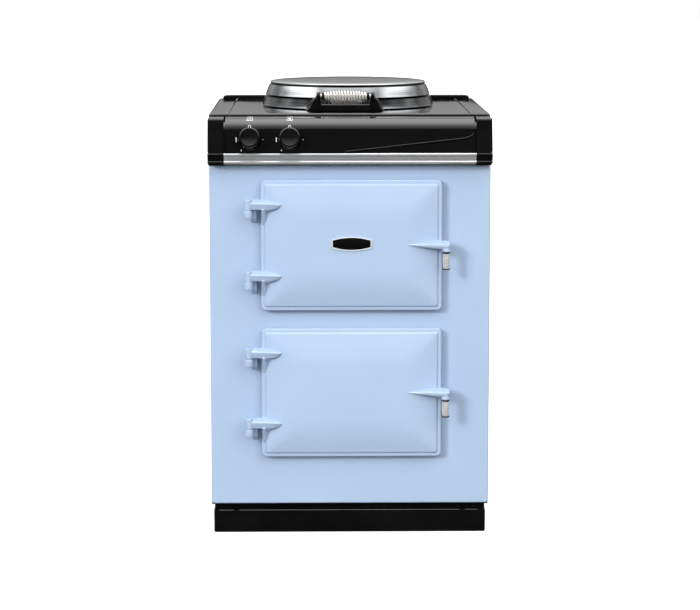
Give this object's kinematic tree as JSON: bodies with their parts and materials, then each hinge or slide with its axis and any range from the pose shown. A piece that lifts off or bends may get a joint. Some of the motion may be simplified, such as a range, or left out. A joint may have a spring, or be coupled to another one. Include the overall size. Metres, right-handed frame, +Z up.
{
  "type": "range cooker",
  "caption": "Enamelled cast iron range cooker with side-hung oven doors, a lidded hotplate and rotary controls, electric, narrow free-standing form.",
  "frame": {"origin": "middle of the bounding box at floor level", "axes": "+Z up, +X to the right as seen from the front, the doors face -Y"},
  "size_m": [0.598, 0.65, 0.9617],
  "materials": {
    "blue_enamel": "pale blue vitreous enamel on cast iron and steel",
    "black_enamel": "glossy black vitreous enamel",
    "black_paint": "satin black paint",
    "raw_iron": "bare grey cast iron, machined where it works",
    "steel": "plain steel",
    "stainless": "polished stainless steel",
    "nickel": "polished nickel plate",
    "galvanised": "galvanised sheet steel",
    "wool": "mineral wool",
    "rope": "braided glass fibre rope",
    "phenolic": "black moulded phenolic"
  },
  "bodies": {
    "root": {"front_plate": "blue_enamel", "side_panel_left": "blue_enamel", "side_panel_right": "blue_enamel", "upper_hinge_bracket_top": "blue_enamel", "upper_hinge_bracket_bottom": "blue_enamel", "lower_hinge_bracket_top": "blue_enamel", "lower_hinge_bracket_bottom": "blue_enamel", "fascia": "black_enamel", "trim_cap_left": "black_enamel", "trim_cap_right": "black_enamel", "top_plate": "black_enamel", "rear_rail": "black_enamel", "lid_hinge_bracket": "black_enamel", "plinth": "black_paint", "base_tray": "black_paint", "upper_oven_casting": "raw_iron", "lower_oven_casting": "raw_iron", "hotplate": "raw_iron", "levelling_foot_front_left": "steel", "levelling_foot_front_right": "steel", "levelling_foot_rear_left": "steel", "levelling_foot_rear_right": "steel", "upper_oven_shelf": "steel", "lower_oven_shelf": "steel", "upper_oven_element": "steel", "lower_oven_element": "steel", "hotplate_element": "steel", "lid_hinge_pin": "steel", "upper_hinge_pin_top": "steel", "upper_hinge_pin_bottom": "steel", "lower_hinge_pin_top": "steel", "lower_hinge_pin_bottom": "steel", "trim_strip": "stainless", "back_panel": "galvanised", "switch_box": "galvanised", "oven_insulation": "wool", "terminal_box": "phenolic", "cable_gland": "phenolic"},
    "upper_door": {"upper_door_casting": "blue_enamel", "upper_door_badge": "black_enamel", "upper_door_liner": "steel", "upper_door_grip": "nickel", "upper_door_insulation": "wool", "upper_door_rope_seal": "rope"},
    "lower_door": {"lower_door_casting": "blue_enamel", "lower_door_liner": "steel", "lower_door_grip": "nickel", "lower_door_insulation": "wool", "lower_door_rope_seal": "rope"},
    "lid": {"lid_shell": "stainless", "lid_liner": "steel", "lid_insulation": "wool", "lid_hinge_arm": "black_enamel", "lid_handle_casting": "black_paint", "lid_handle_rod": "nickel", "lid_handle_coil": "nickel"},
    "oven_knob": {"oven_knob": "phenolic", "oven_knob_spindle": "steel"},
    "hotplate_knob": {"hotplate_knob": "phenolic", "hotplate_knob_spindle": "steel"}
  },
  "joints": [
    {"name": "upper_door_hinge", "type": "hinge", "parent": "root", "child": "upper_door", "pos_m": [-0.2145, -0.305, 0.6303], "axis": [0, 0, -1], "range_deg": [0, 115]},
    {"name": "lower_door_hinge", "type": "hinge", "parent": "root", "child": "lower_door", "pos_m": [-0.2145, -0.305, 0.3148], "axis": [0, 0, -1], "range_deg": [0, 115]},
    {"name": "lid_hinge", "type": "hinge", "parent": "root", "child": "lid", "pos_m": [0, 0.26, 0.9204], "axis": [-1, 0, 0], "range_deg": [0, 90]},
    {"name": "oven_knob_turn", "type": "hinge", "parent": "root", "child": "oven_knob", "pos_m": [-0.2105, -0.29492, 0.8539], "axis": [0, 0.9608, -0.2771], "range_deg": [0, 270]},
    {"name": "hotplate_knob_turn", "type": "hinge", "parent": "root", "child": "hotplate_knob", "pos_m": [-0.1265, -0.29492, 0.8539], "axis": [0, 0.9608, -0.2771], "range_deg": [0, 270]}
  ]
}
